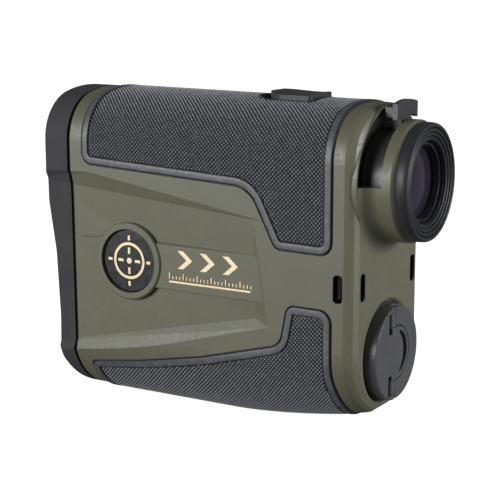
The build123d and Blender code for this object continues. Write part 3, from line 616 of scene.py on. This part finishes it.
# ---- Grips: outlines as (x, z) corners with the radii of the rounds between the ends ----
TOP_CORNERS = [(-37.0, 66.0), (-37.0, 60.3), (11.2, 57.95), (18.3, 44.15), (32.8, 43.85), (32.8, 66.0)]
TOP_RADII = [3.0, 7.0, 2.6, 3.1]
LOW_CORNERS = [
    (-36.9, 6.0), (-36.9, 9.4), (-20.7, 11.9), (-2.4, 15.6), (19.6, 21.5), (21.5, 31.3), (32.8, 31.2),
    (32.8, 16.0), (33.6, 8.0), (33.6, 7.0),
]
LOW_RADII = [2.0, 60.0, 60.0, 3.6, 2.4, 3.2, 20.0, 0.4]
# The border's and the rim's sections, as (distance inwards, height) pairs.
# Painted shade: the border's first two points make a flange down in the seat gap, dark with the valley's
# painted shade, standing in for the gap's shadow.
BORDER_PROFILE = [
    (-0.22, -0.35), (0.0, -0.4), (0.0, 0.12), (0.06, 0.26), (0.2, 0.36), (0.42, GRIP_HEIGHT), (1.0, 0.405),
    (BORDER - 0.45, GRIP_HEIGHT), (BORDER - 0.22, 0.34), (BORDER - 0.08, 0.2), (BORDER, -0.05),
]
# Painted shade: all rim heights lie under BORDER_LOW, so the whole rim round the key hole gets the valley's
# painted shade.
RIM_PROFILE = [
    (0.0, -SEAT_DEPTH), (0.0, 0.2), (0.1, 0.34), (0.28, 0.38), (HOLE_RIM - 0.1, 0.3), (HOLE_RIM, -0.05),
]
KEY_HALF_WIDTH = 5.5
KEY_GAP = 0.8
KEY_POCKET = (5.1, 21.3)    # front and rear end of the opening
KEY_REAR_RADIUS = 1.4
KEY_STEP = 0.5


def key_hole():
    """The opening round the button: a full round front and small rear corners."""
    half = KEY_HALF_WIDTH + KEY_GAP
    x0, x1 = KEY_POCKET
    corners = [(x0, 0.0), (x0, half), (x1, half), (x1, 0.0)]
    return closed_loop(rounded_path(corners, [half - 0.05, KEY_REAR_RADIUS], KEY_STEP))


def make_grip(name, loop, place, holes=()):
    """A rubber skin: a smooth border round a knurled field, whose studs keep sharp edges."""
    verts = []
    faces = []
    light_levels = []
    add_border(verts, faces, light_levels, loop, BORDER_PROFILE, place)
    for hole in holes:
        add_border(verts, faces, light_levels, hole, RIM_PROFILE, place, -1)
    add_knurl(verts, faces, light_levels, loop, place, holes)
    grip = mesh_object(name + "_skin", verts, faces)
    add_painted_light(grip, light_levels)
    work = bmesh.new()
    work.from_mesh(grip.data)
    bmesh.ops.recalc_face_normals(work, faces=work.faces)
    work.to_mesh(grip.data)
    work.free()
    paint(grip, "grip_rubber")
    for polygon in grip.data.polygons:
        polygon.use_smooth = len(polygon.vertices) == 4
    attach(grip, "housing")
    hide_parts(name)


# ---- Eyecup ----
# Each ridge: radius, x of its crest, half width.
RIDGES = [(13.08, 49.0, 0.5), (12.0, 48.8, 0.42), (11.04, 48.55, 0.4), (10.12, 48.3, 0.38)]
RIDGE_STEPS = 8
GROOVE_DEPTH = 0.32
SHARP_ANGLE = math.radians(50)


def make_eyecup():
    """Moulded rubber cup: a plain outer band, a rounded lip and stepped rings down to the lens."""
    profile = [(46.12, 13.12), (46.12, 13.62), (46.3, 13.74), (47.6, 13.72), (48.3, 13.68)]
    for radius, crest, half in RIDGES:
        for k in range(RIDGE_STEPS + 1):
            turn = math.pi * k / RIDGE_STEPS
            profile.append((crest - half + half * math.sin(turn), radius + half * math.cos(turn)))
        profile.append((crest - half - GROOVE_DEPTH, radius - half - 0.06))
    profile += [(47.7, 9.56), (47.2, 9.5), (46.75, 9.46), (46.72, 13.12)]
    cup = lathe("eyecup_rings", profile, SIGHT_Z)
    paint(cup, "eyecup_rubber")
    cup.modifiers.new("edges", "EDGE_SPLIT").split_angle = SHARP_ANGLE
    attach(cup, "housing")
    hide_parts("eyecup")


# ---- Floor and light ----
FLOOR_RADII = [0.2, 0.5, 0.9, 1.3, 1.8, 2.6, 4.0, 6.0]      # metres
FLOOR_RISE_FROM = 0.9       # the floor is flat up to this radius and then rises like a bowl
FLOOR_RISE = 0.11
FLOOR_Z = -0.05             # just under the keel, in millimetres
FLOOR_STEPS = 96
FLOOR_GLOW = 0.86
SKY_STRENGTH = 0.13
# Each lamp: name, place, the point it faces, its size in metres, its power in watts.
LAMPS = [
    ("key", (-0.44, -0.91, 0.26), (0, 0, 0.04), (0.6, 0.4), 11.0),
    ("rear", (0.92, 0.20, 0.22), (0.02, 0, 0.04), (0.4, 0.4), 9.0),
    ("far_side", (-0.85, 0.55, 0.18), (0, 0, 0.05), (0.5, 0.4), 0.8),
]


def make_stage():
    """A pale floor that rises softly all round, so no horizon shows from any side."""
    verts = [(0.0, 0.0, FLOOR_Z)]
    faces = []
    for radius in FLOOR_RADII:
        z = FLOOR_RISE * max(radius - FLOOR_RISE_FROM, 0.0) ** 2 / MM + FLOOR_Z
        for k in range(FLOOR_STEPS):
            turn = 2 * math.pi * k / FLOOR_STEPS
            verts.append((radius * math.cos(turn) / MM, radius * math.sin(turn) / MM, z))
    for k in range(FLOOR_STEPS):
        faces.append((0, 1 + k, 1 + (k + 1) % FLOOR_STEPS))
    for ring in range(len(FLOOR_RADII) - 1):
        first = 1 + ring * FLOOR_STEPS
        for k in range(FLOOR_STEPS):
            n = (k + 1) % FLOOR_STEPS
            faces.append((first + k, first + FLOOR_STEPS + k, first + FLOOR_STEPS + n, first + n))
    floor = mesh_object("floor", verts, faces)
    m = Nodes("pale_floor")
    m.colour(m.ramp(m.noise(3, 3.0, 0.5), [(0.3, (0.86, 0.86, 0.86)), (0.7, (0.90, 0.90, 0.90))]))
    m.shader.inputs["Emission Color"].default_value = (1.0, 1.0, 1.0, 1.0)
    m.set(Roughness=0.8, Emission_Strength=FLOOR_GLOW)
    floor.data.materials.append(m.material)
    floor.visible_diffuse = False
    floor.visible_glossy = False
    floor.visible_shadow = False


def area_light(name, place, target, size, power):
    data = bpy.data.lights.new(name, "AREA")
    data.shape = "RECTANGLE"
    data.size, data.size_y = size
    data.energy = power
    lamp = bpy.data.objects.new(name, data)
    bpy.context.scene.collection.objects.link(lamp)
    lamp.location = Vector(place)
    lamp.rotation_mode = "QUATERNION"
    lamp.rotation_quaternion = (Vector(target) - Vector(place)).to_track_quat("-Z", "Y")


def make_light():
    world = bpy.data.worlds.new("studio")
    bpy.context.scene.world = world
    world.use_nodes = True
    sky = world.node_tree.nodes["Background"]
    sky.inputs["Color"].default_value = (0.97, 0.98, 1.0, 1.0)
    sky.inputs["Strength"].default_value = SKY_STRENGTH
    for lamp in LAMPS:
        area_light(*lamp)
    bpy.context.scene.view_settings.view_transform = "Standard"


make_camera()
for item in frame["record"]["subparts"]:
    paint(frame["nodes"][item["node"]], item["material_slot"])
make_grip("top_grip", grip_loop(TOP_CORNERS, TOP_RADII, length_over_top), over_top, [key_hole()])
make_grip("bottom_grip", grip_loop(LOW_CORNERS, LOW_RADII, length_under_keel), under_keel)
make_eyecup()
make_stage()
make_light()
